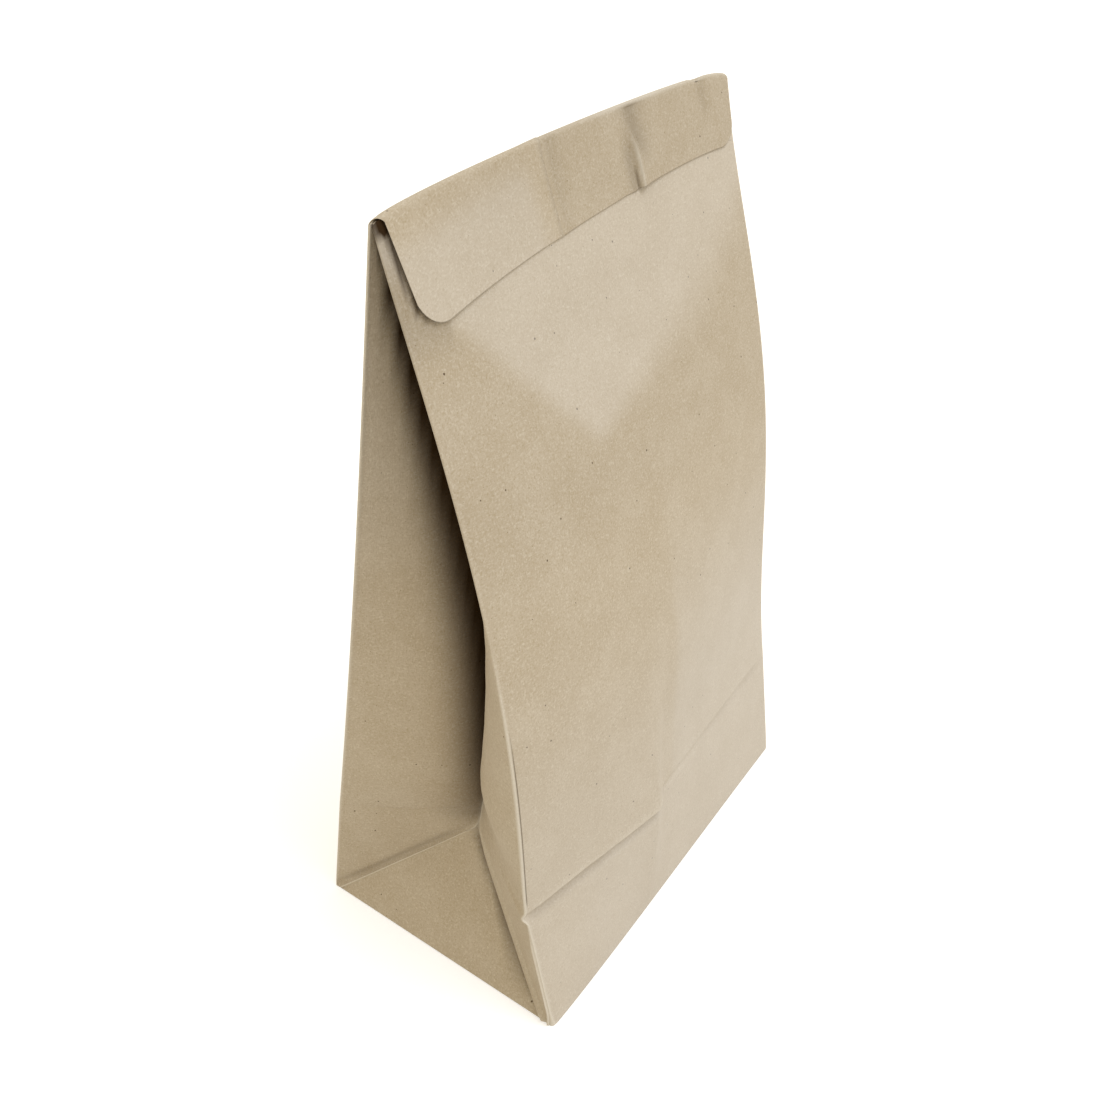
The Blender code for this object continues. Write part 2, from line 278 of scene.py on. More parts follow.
def ring(level):
    """One turn round the tube at a level: a belt run over the eight folds. Each point is
    (x, y, z, number of the fold or flat run, share across that run or -1 on a fold). Runs 0 to 2
    are the right gusset, 3 the back, 4 to 6 the left gusset and 7 the front. The gusset halves
    are held flat near the crease and bulge more above it."""
    folds = pins(level)
    headings = [heading(folds[i], folds[(i + 1) % 8]) for i in range(8)]
    bow_front, bow_back = gusset_bows(level)
    bow_front *= mix(0.15, 1.35, smooth(above_crease(level) / 0.17))
    bow_back *= mix(0.3, 1.0, smooth(above_crease(level) / 0.10))
    tuck = VALLEY_TUCK * hump(above_crease(level), 0.5, 1.3)
    points = []
    for i, fold in enumerate(folds):
        arrives, leaves = headings[i - 1], headings[i]
        turn = (leaves - arrives) % (2 * math.pi)
        widest = math.pi / 4 if fold[2] < 0 else 1.75 * math.pi
        if turn > widest:
            turn -= 2 * math.pi
        for j in range(FOLD_STEPS + 1):
            points.append((*touch(fold, arrives + turn * j / FOLD_STEPS), i, -1.0))
        start, end = touch(fold, leaves), touch(folds[(i + 1) % 8], leaves)
        for share in RUNS[i]:
            if i == 7:
                out = swell(level, share, -1)
            elif i == 3:
                out = swell(level, 1 - share, 1)
            elif i in (0, 6):
                out = bow_front * hump(share, 1, 1)
            elif i in (2, 4):
                to_valley = share if i == 4 else 1 - share
                out = bow_back * hump(share, 1, 1) + tuck * hump(to_valley, 1.5, 1)
            else:
                out = 0.0
            x = mix(start[0], end[0], share) + out * math.sin(leaves)
            y = mix(start[1], end[1], share) - out * math.cos(leaves)
            points.append((x, y, i, share))
    return [(x, y, height(x, level), i, share) for x, y, i, share in points]


near_fold = [0.0, 0.0006, 0.0014, 0.0025, 0.0040]
low = near_fold + [mix(0.0040, CREASE_HEIGHT - 0.0060, i / 16) for i in range(1, 17)]
low += [CREASE_HEIGHT - d for d in (0.0050, 0.0042, 0.0034, 0.0027, 0.0020, 0.0014, 0.0008, 0.0004)]
tall = sum(FOLD_HEIGHT) / 2 - CREASE_HEIGHT
high = [0.0, 0.0004, 0.0009, 0.0016, 0.0026, 0.0040]
high += [mix(0.0040, tall - 0.0020, i / 84) for i in range(1, 85)]
LEVELS = [CREASE_LEVEL * z / CREASE_HEIGHT for z in low]
LEVELS += [mix(CREASE_LEVEL, 1.0, z / tall) for z in high + [tall]]

rings = np.array([ring(level) for level in LEVELS])
tube, run, share = rings[:, :, :3], rings[0, :, 3].astype(int), rings[0, :, 4]

# How the paper took its folds: a pressed fold leaves a fine ridge with a hollow beside it, and
# the crease that once closed the bottom flat leaves a softer one across the front. Light and shade
# are also painted into the colour: painted light on the front's flat facet, its lower part and the
# upper back half of each gusset, fold wear with a painted highlight along the folds, and painted
# shade deep in the gussets, beside the folds of the foot and along some creases.

FOLD_MEET = 0.0375
FACET_LEFT = {"share": 0.106, "height": 0.2070, "slope": -0.1524}
FACET_TIP = {"share": 0.352, "height": 0.1695, "slope": 0.051}
FACET_BEND = {"share": 0.753, "slope": 0.034}
FACET_EDGE = (0.009, 0.005, 0.025)
MOST_PALE = 1.3


def facet_tone(x_share, z):
    """1 on the triangle of the upper front that was pressed flat, 0 outside it: the mask for its
    painted light, and outside it for some painted shade. Its left edge is sharp, and its right
    edge grows soft away from the tip."""
    left_edge = FACET_LEFT["height"] + FACET_LEFT["slope"] * (x_share - FACET_LEFT["share"])
    right_edge = FACET_TIP["height"] + FACET_TIP["slope"] * (x_share - FACET_TIP["share"])
    right_edge += FACET_BEND["slope"] * np.maximum(x_share - FACET_BEND["share"], 0)
    away = np.clip((x_share - FACET_TIP["share"]) / 0.4, 0, 1)
    left, tip, right = FACET_EDGE
    inside_left = smooth((z - left_edge) / left + 0.5)
    return inside_left * smooth((z - right_edge) / mix(tip, right, away) + 0.5)


def unit(vectors):
    return vectors / (np.linalg.norm(vectors, axis=2, keepdims=True) + 1e-12)


ahead = np.roll(tube, -1, axis=1) - np.roll(tube, 1, axis=1)
facing = unit(np.cross(ahead, np.gradient(tube, axis=0)))
steady = unit(sum(np.roll(facing, k, axis=1) for k in range(-5, 6)))
steps = np.linalg.norm(np.roll(tube, -1, axis=1) - tube, axis=2)
along = np.concatenate([np.zeros((len(tube), 1)), np.cumsum(steps, axis=1)], axis=1)
from_start = np.full(along[:, :-1].shape, 1.0)
from_end = np.full(along[:, :-1].shape, 1.0)
for i in range(8):
    on_run = np.flatnonzero((run == i) & (share >= 0))
    begins, ends = along[:, on_run[0] - 1], along[:, on_run[-1] + 1]
    from_start[:, on_run] = along[:, on_run] - begins[:, None]
    from_end[:, on_run] = ends[:, None] - along[:, on_run]
on_fold = share < 0
from_start[:, on_fold] = from_end[:, on_fold] = 0.0
beside = np.minimum(from_start, from_end)

z = tube[:, :, 2]
over_crease = z - CREASE_HEIGHT
foot_part = fade(z, end=FOLD_MEET + 0.004, over=0.010)
front = run == 7
outer_fold = on_fold & np.isin(run, (0, 3, 4, 7))
inner_fold = np.isin(run, (1, 2, 5, 6)) & (z < CREASE_HEIGHT)
triangle = np.isin(run, (1, 5)) & ~on_fold
front_half = np.isin(run, (0, 6)) & ~on_fold
back_half = np.isin(run, (2, 4)) & ~on_fold
to_front = np.where(run == 5, from_end, from_start)
to_back = np.where(run == 2, from_start, from_end)
to_valley = np.where(run == 0, from_end, from_start)
front_share = np.where(front, share, 0.0)
left_part = fade(front_share, end=0.47, over=0.06) * ramp(front_share, start=0.0, over=0.03)
right_part = ramp(front_share, start=0.60, over=0.10) * fade(front_share, end=1.0, over=0.05)
below_crease = mark(over_crease, size=1.0, place=-0.0028, spread=0.0018)

relief = np.zeros(z.shape)
for part, rises in (
    (outer_fold, 0.00006),
    (front, mark(from_start, size=-0.00016, place=0.0011, spread=0.0007)),
    (~front, mark(beside, size=-0.00008, place=0.0012, spread=0.0008)),
    (inner_fold, mark(beside, size=0.00085, place=0.0, spread=0.0009) * foot_part),
    (back_half, mark(to_back, size=0.00085, place=0.0, spread=0.0009) * foot_part),
    (back_half, mark(to_back, size=-0.00060, place=0.0030, spread=0.0018) * foot_part),
    (triangle, mark(to_front, size=-0.00070, place=0.0028, spread=0.0016) * foot_part),
    (front_half, mark(to_valley, size=0.00085, place=0.0, spread=0.0009) * foot_part),
    (front, (-0.00075 * left_part - 0.00030 * right_part) * below_crease),
    (front, (0.00030 * left_part + 0.00010 * right_part) * bell(over_crease, 0.0008)),
    (run == 3, mark(over_crease, size=-0.00020, place=-0.0014, spread=0.0012)),
):
    relief += np.where(part, rises, 0.0)
relief[0] = 0.0
facing = np.where(inner_fold[:, :, None], steady, facing)
tube = tube + facing * relief[:, :, None]
x_share = np.clip(tube[:, :, 0] / WIDTH + 0.5, 0, 1)

# Painted shadow: a dark hairline on the front beside its left fold, from the crease to about 125 mm
# up.
painted_fold_shadow = np.where(front, mark(from_start, size=1.0, place=0.0008, spread=0.0003), 0.0)
painted_fold_shadow *= fade(z, end=0.125, over=0.03) * ramp(z, start=CREASE_HEIGHT, over=0.004)

# Fold wear and painted highlight: folds and narrow lines beside them are painted paler, with a lit
# ridge on each gusset's front half beside its inner fold at the foot and a line along the crease on
# the front's left part. Less of it high on the left, which lies in shade.
wear_and_highlight = np.where(on_fold, 1.0, bell(beside, 0.0004))
painted_ridge_light = mark(to_valley, size=0.7, place=0.0006, spread=0.0009) * foot_part
wear_and_highlight = np.maximum(wear_and_highlight, np.where(front_half, painted_ridge_light, 0.0))
left_rim = (run == 6) | (front & (tube[:, :, 0] < 0))
wear_and_highlight *= 1 - 0.85 * left_rim * ramp(z, start=0.11, over=0.03)
wear_and_highlight = np.maximum(wear_and_highlight, np.where(front, 0.6 * left_part * bell(over_crease, 0.0005), 0.0))

# Painted light: the front's flat facet, its right and lower parts and a band just above the crease
# are painted paler, as where light falls on them.
painted_light = 0.9 * facet_tone(x_share, z)
painted_light += 0.5 * ramp(x_share, start=0.48, over=0.04) * fade(z, end=0.160, over=0.07)
painted_light += 0.95 * fade(z, end=0.140, over=0.09)
painted_light += 0.7 * fade(over_crease, end=0.0, over=0.006) * bell(x_share - 0.40, 0.25)
painted_light = np.where(front, np.clip(painted_light, 0, MOST_PALE) / MOST_PALE, 0.0)

# How deep a place lies in its gusset, as a share of the width of the gusset's opening there.
left_front, left_back = (int(np.flatnonzero((run == i) & on_fold)[2]) for i in (7, 4))
opening = np.abs(tube[:, left_front, 1] - tube[:, left_back, 1])[:, None]
depth = (WIDTH / 2 - np.abs(tube[:, :, 0])) / (opening + 0.002)
# Painted light: the back half of each gusset is painted paler near its outer fold in the upper
# part.
gusset_edge = ramp(z, start=0.12, over=0.06) * fade(depth, end=0.50, over=0.35)
painted_light = np.where(back_half, 0.35 * gusset_edge, painted_light)
# Painted shade: paper deep in a gusset is painted darker, as its shade. The depth where it starts
# grows towards the mouth; it starts deeper on the front halves, but less deep on the left front
# half from mid-height up.
way_up = np.maximum(over_crease, 0) / tall
darkens = 0.18 + 0.19 * way_up**2 + 0.02 * bell(way_up - 0.5, 0.3)
darkens += np.where(np.isin(run, (0, 6)), 0.10, 0.0)
darkens -= np.where(run == 6, 0.24 * ramp(z, start=0.07, over=0.12), 0.0)
painted_shade = ramp(depth, start=darkens, over=0.25) * ramp(z, start=FOLD_MEET - 0.003, over=0.009)
painted_shade = np.where(front | (run == 3), 0.0, painted_shade)
# Painted shade beside the folds of the foot, under the front's crease and outside the flat facet
# high on the front.
off_floor = ramp(z, start=0.0, over=0.010)
beside_front = mark(to_front, size=1.0, place=0.0018, spread=0.0022) * off_floor * foot_part
beside_back = mark(to_back, size=0.24, place=0.0032, spread=0.0026) * off_floor * foot_part
for part, darker in (
    (triangle, np.where(run == 5, 0.80, 0.45) * beside_front),
    (back_half, beside_back),
    (front, 0.05 * (1 - facet_tone(x_share, z)) * ramp(z, start=0.135, over=0.03)),
    (front, (0.16 * left_part + 0.05 * right_part) * below_crease),
):
    painted_shade += np.where(part, darker, 0.0)

# The lip over the roll, laid against the front by a press of the hand: its low edge is a clean
# cut with rounded corners, and it kept a sharp kink right of its middle and three soft dents.

LIP_LENGTH = (0.0242, 0.0185)
LIP_HOLLOW = 0.0010
LIP_INSET = (0.0024, 0.0014)
LIP_SKEW = (0.12, 0.045)
LIP_GAP = (0.0003, 0.0014)
LIP_CLEAR = 0.00022
ROLL_STEPS = 12
LIP_PLACES = [*(i / 24 for i in range(1, 24)), 0.984, 1.0]
LIP_ROWS = len(LIP_PLACES)


def corner_cut(x):
    """How much of the lip's length its rounded corner takes at this place."""
    inside = min(WIDTH / 2 - abs(x), LIP_CORNER)
    return LIP_CORNER - math.sqrt(max(LIP_CORNER**2 - (LIP_CORNER - inside) ** 2, 0.0))


def lip_column(foot):
    """Points from the top of the back panel over the roll and down the front."""
    x, y, z = foot
    _, y_below, z_below = panel_point(x, 0.97, 1)
    lean = math.atan2(y_below - panel_point(x, 1, 1)[1], z - z_below)
    centre = (y - ROLL_RADIUS * math.cos(lean), z - ROLL_RADIUS * math.sin(lean))
    to_left = max(0.0, 1 - 2 * across(x))
    to_right = max(0.0, 2 * across(x) - 1)
    inset = LIP_INSET[0] * to_left**2 - LIP_INSET[1] * to_right**2
    length = mix(*LIP_LENGTH, across(x)) - LIP_HOLLOW * hump(across(x), 1, 1)
    low = 1 - length / (mouth_height(x) - CREASE_HEIGHT) * (1 - CREASE_LEVEL)
    _, y_low, z_low = panel_point(x, low, -1)
    gap = mix(*LIP_GAP, to_left**3)
    aim = (y_low - PAPER - gap - centre[0], z_low - centre[1])
    reach = math.hypot(*aim)
    last = math.atan2(aim[1], aim[0]) - math.acos(ROLL_RADIUS / reach) + 2 * math.pi
    straight = math.sqrt(reach**2 - ROLL_RADIUS**2) * (1 - corner_cut(x) / length)
    column = []
    for i in range(1, ROLL_STEPS + 1):
        angle = mix(lean, last, i / ROLL_STEPS)
        y_roll = centre[0] + ROLL_RADIUS * math.cos(angle)
        z_roll = centre[1] + ROLL_RADIUS * math.sin(angle)
        column.append((x + inset * i / ROLL_STEPS, y_roll, z_roll))
    x_top, y_top, z_top = column[-1]
    skew = mix(*LIP_SKEW, across(x))
    for down in (straight * place for place in LIP_PLACES):
        y_lip = y_top + down * math.cos(last + math.pi / 2)
        z_lip = z_top + down * math.sin(last + math.pi / 2)
        column.append((x_top + skew * down, y_lip, z_lip))
    return column


first = int(np.flatnonzero((run == 3) & on_fold)[-1])
mouth = slice(first, first + len(RUNS[3]) + 2)
lip = np.array([lip_column(point) for point in tube[-1, mouth]]).transpose(1, 0, 2)
lip_facing = unit(np.cross(np.gradient(lip, axis=1), np.gradient(lip, axis=0)))
row = np.arange(len(lip))[:, None]
place = lip[:, :, 0] / WIDTH + 0.5
down = np.clip((row - ROLL_STEPS / 2) / (LIP_ROWS + ROLL_STEPS / 2), 0, 1)
kink = (place - mix(0.610, 0.634, down)) * WIDTH
left_dent = (place - 0.388) * WIDTH
soft_dent = (place - mix(0.629, 0.676, down)) * WIDTH
end_dent = (place - mix(0.872, 0.91, down)) * WIDTH
sharp_side, soft_side = np.minimum(kink, 0) / 0.0009, -np.maximum(kink, 0) / 0.0055
in_low_half = ramp(down, start=0.25, over=0.35)
in_high_half = fade(down, end=0.75, over=0.35) * ramp(down, start=0.06, over=0.2)
low_middle = ramp(place, start=0.37, over=0.05) * fade(place, end=0.60, over=0.06)
lip_relief = 0.00155 * np.exp(sharp_side + soft_side) * in_low_half
for rises in (
    mark(kink, size=-0.00120, place=-0.0030, spread=0.0020) * in_low_half,
    mark(soft_dent, size=-0.00150, place=0.0, spread=0.0042) * in_high_half,
    mark(left_dent, size=-0.00080, place=0.0, spread=0.0035) * ramp(down, start=0.0, over=0.3),
    mark(end_dent, size=-0.00120, place=0.0, spread=0.0024) * fade(down, end=0.7, over=0.4),
    -0.00045 * low_middle * ramp(down, start=0.55, over=0.4),
):
    lip_relief += rises
lip_relief *= smooth(row / (ROLL_STEPS / 2))
lip = lip + lip_facing * lip_relief[:, :, None]
for i in range(ROLL_STEPS, len(lip)):
    blend = 0.0003 * (i - ROLL_STEPS) / LIP_ROWS + 0.00001
    for point in lip[i]:
        x = min(max(point[0], -WIDTH / 2), WIDTH / 2)
        rise = (point[2] - CREASE_HEIGHT) / (mouth_height(x) - CREASE_HEIGHT)
        panel = panel_point(x, mix(CREASE_LEVEL, 1.0, min(rise, 1.0)), -1)[1]
        point[1] = lower_of(point[1], panel - PAPER - LIP_CLEAR, blend)

kink_low = ramp(down, start=0.35, over=0.3)
# Wear and painted highlight: the top of the roll, most on its right part, and the sharp kink are
# painted paler.
lip_wear_and_highlight = bell(row - ROLL_STEPS / 2, 3.0) * mix(0.3, 0.9, ramp(place, start=0.4, over=0.3))
lip_wear_and_highlight = np.maximum(lip_wear_and_highlight, mark(kink, size=1.0, place=0.0002, spread=0.0006) * kink_low)
# Painted shadow: a dark line left of the kink low on the lip, and along the lip's cut edge.
lip_painted_shadow = mark(kink, size=0.75, place=-0.0010, spread=0.0006) * ramp(down, start=0.55, over=0.3)
lip_painted_shadow = np.maximum(lip_painted_shadow, 0.75 * (row == len(lip) - 1))
# Painted light: the lip's left corner part and a patch high on the lip right of its middle are
# painted paler.
lip_corner_painted_light = fade(place, end=mix(0.33, 0.38, down), over=0.05)
lip_corner_painted_light *= ramp(down, start=0.15 + 0.25 * (0.3 - place), over=0.3)
lip_painted_light = 0.65 * lip_corner_painted_light + 0.8 * bell(place - 0.64, 0.16) * bell(down - 0.04, 0.10)
# Painted shade: the lip's right part, a line near its middle, its dents, the left side of its kink
# and a patch on its left part are painted darker.
dent_part = fade(down, end=0.85, over=0.4) * ramp(down, start=0.0, over=0.15)
lip_painted_shade = 0.07 * ramp(place, start=mix(0.36, 0.396, down), over=0.02)
for darker in (
    0.08 * bell((place - 0.395) * WIDTH, 0.0030),
    mark(soft_dent, size=0.26, place=-0.0010, spread=0.0042) * dent_part,
    mark(kink, size=0.20, place=-0.0024, spread=0.0022) * kink_low,
    mark(end_dent, size=0.10, place=0.0, spread=0.0024) * fade(down, end=0.7, over=0.4),
    0.06 * bell(place - 0.25, 0.14) * bell(down - 0.25, 0.35),
):
    lip_painted_shade += darker
lip_painted_shade *= smooth(row / ROLL_STEPS)

# Painted shadow: the front is painted darker under the roll and beside the lip's left edge, which
# stands off it.
below_roll = mix(*FOLD_HEIGHT, x_share) - z
turned = np.clip(below_roll - LIP_LENGTH[0] + LIP_CORNER, 0, LIP_CORNER)
rounded_off = LIP_CORNER - np.sqrt(LIP_CORNER**2 - turned**2)
lip_side = LIP_INSET[0] + LIP_SKEW[0] * below_roll + rounded_off
past_side = tube[:, :, 0] + WIDTH / 2 - lip_side
lip_shade = 0.80 * bell(past_side, 0.0010) * fade(below_roll, end=LIP_LENGTH[0], over=0.006)
lip_shade += 0.20 * fade(past_side, end=0.0, over=0.0006) * fade(below_roll, end=0.034, over=0.012)
lip_shade += 0.70 * fade(below_roll, end=0.0045, over=0.002)
painted_shade += np.where(front, lip_shade, 0.0)


def quads_between(ids):
    """The faces between neighbouring rows and columns of points."""
    corners = [ids[:-1, :-1], ids[:-1, 1:], ids[1:, 1:], ids[1:, :-1]]
    return np.stack(corners, axis=-1).reshape(-1, 4)


def store(data, name, values):
    """Stores one number per point of a mesh."""
    numbers = np.ascontiguousarray(values, np.float32).ravel()
    data.attributes.new(name, "FLOAT", "POINT").data.foreach_set("value", numbers)


def corners_of(data):
    """The number of the point at each corner of a mesh's faces."""
    corners = np.empty(len(data.loops), np.int32)
    data.loops.foreach_get("vertex_index", corners)
    return corners


def lay_flat(data, places):
    """Stores where each corner lies on the flat sheet, in metres."""
    numbers = np.ascontiguousarray(places, np.float32).ravel()
    data.uv_layers.new(name="flat_sheet").uv.foreach_set("vector", numbers)


rows, columns = z.shape
points = np.concatenate([tube.reshape(-1, 3), lip.reshape(-1, 3)])
index = np.arange(rows * columns).reshape(rows, columns)
lip_index = rows * columns + np.arange(lip[:, :, 0].size).reshape(lip.shape[:2])
quads = quads_between(np.hstack([index, index[:, :1]]))
laps = quads_between(np.vstack([index[-1, mouth], lip_index]))
sheet_data = bpy.data.meshes.new("bag_sheet")
faces = quads.tolist() + laps.tolist() + [index[0, ::-1].tolist()]
sheet_data.from_pydata(points.tolist(), [], faces)
for name, on_tube, on_lip in (
    ("fold_wear_and_highlight", wear_and_highlight, lip_wear_and_highlight),
    ("painted_fold_shadow", painted_fold_shadow, lip_painted_shadow),
    ("painted_light_map", painted_light, lip_painted_light),
    ("painted_shade_map", painted_shade, lip_painted_shade),
):
    store(sheet_data, name, np.concatenate([on_tube.ravel(), on_lip.ravel()]))

lip_steps = np.diff(np.vstack([tube[-1:, mouth], lip]), axis=0)
lip_run = np.cumsum(np.linalg.norm(lip_steps, axis=2), axis=0)
sheet_uv = np.zeros((len(points), 2))
sheet_uv[: rows * columns, 0] = along[:, :-1].ravel()
sheet_uv[: rows * columns, 1] = z.ravel()
sheet_uv[rows * columns :, 0] = np.tile(along[-1, :-1][mouth], len(lip))
sheet_uv[rows * columns :, 1] = (z[-1, mouth] + lip_run).ravel()
corners = corners_of(sheet_data)
laid = sheet_uv[corners]
closing = np.zeros(len(corners), bool)
closing[: len(quads) * 4] = np.repeat((np.arange(len(quads)) % columns) == columns - 1, 4)
wrapped = closing & (corners % columns == 0)
laid[wrapped, 0] = along[corners[wrapped] // columns, -1]
lay_flat(sheet_data, laid)
sheet_data.shade_smooth()


def linear(code):
    """A linear colour from an sRGB hex value."""
    parts = [int(code[i : i + 2], 16) / 255 for i in (1, 3, 5)]
    return [c / 12.92 if c <= 0.04045 else ((c + 0.055) / 1.055) ** 2.4 for c in parts] + [1.0]


def add(tree, kind, inputs=None, **settings):
    """Adds a node with its settings, and gives each input a value or a link."""
    made = tree.nodes.new(kind)
    for name, value in settings.items():
        setattr(made, name, value)
    for key, value in (inputs or {}).items():
        if isinstance(value, bpy.types.NodeSocket):
            tree.links.new(value, made.inputs[key])
        else:
            made.inputs[key].default_value = value
    return made


# Unbleached machine-glazed kraft, about 70 g/m2: matt, pale brown and even, with a fine tooth of
# short fibres, a few dark bark specks, and paler where a fold is worn, which also carries a painted
# highlight. Painted light and painted shade from the sheet are laid over it. Fibres are drawn
# 0.5 mm long and 0.15 mm thick, a little coarser than real, so that they show.

kraft = bpy.data.materials.new("unbleached_kraft_paper")
kraft.use_nodes = True
paper = kraft.node_tree
shader = paper.nodes["Principled BSDF"]
where = add(paper, "ShaderNodeTexCoord").outputs["Object"]
flat = add(paper, "ShaderNodeUVMap", uv_map="flat_sheet").outputs[0]
noises, layers = {}, []
for name, source, size, stretch, detail, start, full, code, most in (
    ("clouds", where, 0.014, (1, 1, 1), 2.0, 0.40, 0.62, "#CDC0AB", 0.35),
    ("mottle", where, 0.0032, (1, 1, 1), 2.0, 0.50, 0.72, "#B5A589", 0.25),
    ("tooth", where, 0.00050, (1, 1, 1), 2.0, 0.50, 0.72, "#AD9B7B", 0.55),
    ("pits", where, 0.00065, (1, 1, 1), 1.0, 0.48, 0.26, "#DED4C1", 0.42),
    ("fibres_up", flat, 0.0009, (3.0, 0.7, 1), 1.0, 0.58, 0.72, "#A18E6C", 0.35),
    ("fibres_across", flat, 0.0010, (0.7, 3.0, 1), 1.0, 0.58, 0.72, "#DDD3C0", 0.35),
):
    grain = {"Vector": source, "Scale": [s / size for s in stretch]}
    scaled = add(paper, "ShaderNodeMapping", grain).outputs[0]
    noise = add(paper, "ShaderNodeTexNoise", {"Vector": scaled, "Scale": 1.0, "Detail": detail})
    noises[name] = noise.outputs["Fac"]
    limits = {"From Min": start, "From Max": full, "To Max": most}
    layers.append((add(paper, "ShaderNodeMapRange", {"Value": noises[name], **limits}), code))

SPECK_BLUR = 0.012
for cell, share_bare, biggest, code, most in (
    (0.0080, 0.70, 0.00034, "#4E3B22", 0.9),
    (0.0034, 0.60, 0.00017, "#7A6440", 0.6),
):
    cells = {"Vector": flat, "Scale": 1 / cell}
    dots = add(paper, "ShaderNodeTexVoronoi", cells, voronoi_dimensions="2D")
    chance = add(paper, "ShaderNodeSeparateColor", {"Color": dots.outputs["Color"]}).outputs[0]
    limits = {"From Min": share_bare, "To Max": biggest / cell}
    radius = add(paper, "ShaderNodeMapRange", {"Value": chance, **limits}).outputs[0]
    reach = {0: radius, 1: dots.outputs["Distance"]}
    inside = add(paper, "ShaderNodeMath", reach, operation="SUBTRACT").outputs[0]
    limits = {"From Max": SPECK_BLUR, "To Max": most}
    layers.append((add(paper, "ShaderNodeMapRange", {"Value": inside, **limits}), code))

# Painted light, fold wear with painted highlight, painted shadow lines and painted shade, read from
# the sheet's attributes.
for name, start, code, most in (
    ("painted_light_map", 0.0, "#E2DDD6", 0.35),
    ("fold_wear_and_highlight", 0.0, "#E4DCCC", 0.55),
    ("painted_fold_shadow", 0.3, "#4F3F28", 0.85),
    ("painted_shade_map", 0.0, "#2E1A00", 0.97),
):
    marked = add(paper, "ShaderNodeAttribute", attribute_name=name).outputs["Fac"]
    limits = {"From Min": start, "To Max": most}
    layers.append((add(paper, "ShaderNodeMapRange", {"Value": marked, **limits}), code))

tone = linear("#C0B199")
for shown, code in layers:
    colours = {0: shown.outputs[0], 6: tone, 7: linear(code)}
    tone = add(paper, "ShaderNodeMix", colours, data_type="RGBA").outputs[2]
paper.links.new(tone, shader.inputs["Base Color"])

pulp = {0: noises["tooth"], 1: noises["pits"]}
coarse = add(paper, "ShaderNodeMath", pulp, operation="SUBTRACT").outputs[0]
felted = {0: coarse, 1: noises["fibres_up"]}
fine = add(paper, "ShaderNodeMath", felted, operation="ADD").outputs[0]
bumps = add(paper, "ShaderNodeBump", {"Height": fine, "Strength": 0.5, "Distance": 0.00008})
paper.links.new(bumps.outputs[0], shader.inputs["Normal"])
shader.inputs["Roughness"].default_value = 0.8
shader.inputs["IOR"].default_value = 1.47
# The specular is turned down where shade is painted.
painted_shade_amount = add(paper, "ShaderNodeAttribute", attribute_name="painted_shade_map").outputs["Fac"]
sheen = add(paper, "ShaderNodeMapRange", {"Value": painted_shade_amount, "To Min": 0.4, "To Max": 0.0})
paper.links.new(sheen.outputs[0], shader.inputs["Specular IOR Level"])

# Handled paper cockles: its panels wave by a fraction of a millimetre, following the sheet. They
# lie still beside a fold, near the foot and under the lip, and the lip itself waves less.

COCKLE = {"Height": 0.0003, "Wave": 0.024, "Seed": 7.0}
LIP_LOOSE = 0.25
cockle = bpy.data.node_groups.new("cockled_paper", "GeometryNodeTree")
sockets = {}
for name, kind in (
    ("Geometry", "NodeSocketGeometry"),
    ("Height", "NodeSocketFloat"),
    ("Wave", "NodeSocketFloat"),
    ("Seed", "NodeSocketFloat"),
    ("Paper", "NodeSocketMaterial"),
):
    socket = cockle.interface.new_socket(name, in_out="INPUT", socket_type=kind)
    sockets[name] = socket.identifier
    if name in COCKLE:
        socket.default_value = COCKLE[name]
cockle.interface.new_socket("Geometry", in_out="OUTPUT", socket_type="NodeSocketGeometry")
given = add(cockle, "NodeGroupInput").outputs
spot = add(cockle, "GeometryNodeInputPosition").outputs[0]
often = add(cockle, "ShaderNodeMath", {0: 1.0, 1: given["Wave"]}, operation="DIVIDE").outputs[0]
wander = {"Vector": spot, "W": given["Seed"], "Scale": often, "Detail": 2.5}
noise = add(cockle, "ShaderNodeTexNoise", wander, noise_dimensions="4D").outputs["Fac"]
rise = add(cockle, "ShaderNodeMath", {0: noise, 1: 0.5}, operation="SUBTRACT").outputs[0]
looseness = add(
    cockle, "GeometryNodeInputNamedAttribute", {"Name": "looseness"}, data_type="FLOAT"
).outputs[0]
tallness = {0: given["Height"], 1: 4.0}
tallness = add(cockle, "ShaderNodeMath", tallness, operation="MULTIPLY").outputs[0]
for factor in (tallness, looseness):
    rise = add(cockle, "ShaderNodeMath", {0: rise, 1: factor}, operation="MULTIPLY").outputs[0]
outwards = {0: add(cockle, "GeometryNodeInputNormal").outputs[0], "Scale": rise}
shift = add(cockle, "ShaderNodeVectorMath", outwards, operation="SCALE").outputs[0]
offset = {"Geometry": given["Geometry"], "Offset": shift}
moved = add(cockle, "GeometryNodeSetPosition", offset).outputs[0]
real = add(cockle, "GeometryNodeRealizeInstances", {"Geometry": moved}).outputs[0]
covering = {"Geometry": real, "Material": given["Paper"]}
dressed = add(cockle, "GeometryNodeSetMaterial", covering).outputs[0]
add(cockle, "NodeGroupOutput", {"Geometry": dressed})

loose = ramp(beside, start=0.0, over=0.012) * ramp(z, start=0.004, over=0.02)
loose *= ramp(below_roll, start=0.022, over=0.03)
loose_lip = np.full(lip.shape[:2], LIP_LOOSE) * ramp(down, start=0.0, over=0.3)
store(sheet_data, "looseness", np.concatenate([loose.ravel(), loose_lip.ravel()]))


def put(name, data):
    """Adds an object with this data to the scene."""
    made = bpy.data.objects.new(name, data)
    bpy.context.scene.collection.objects.link(made)
    return made


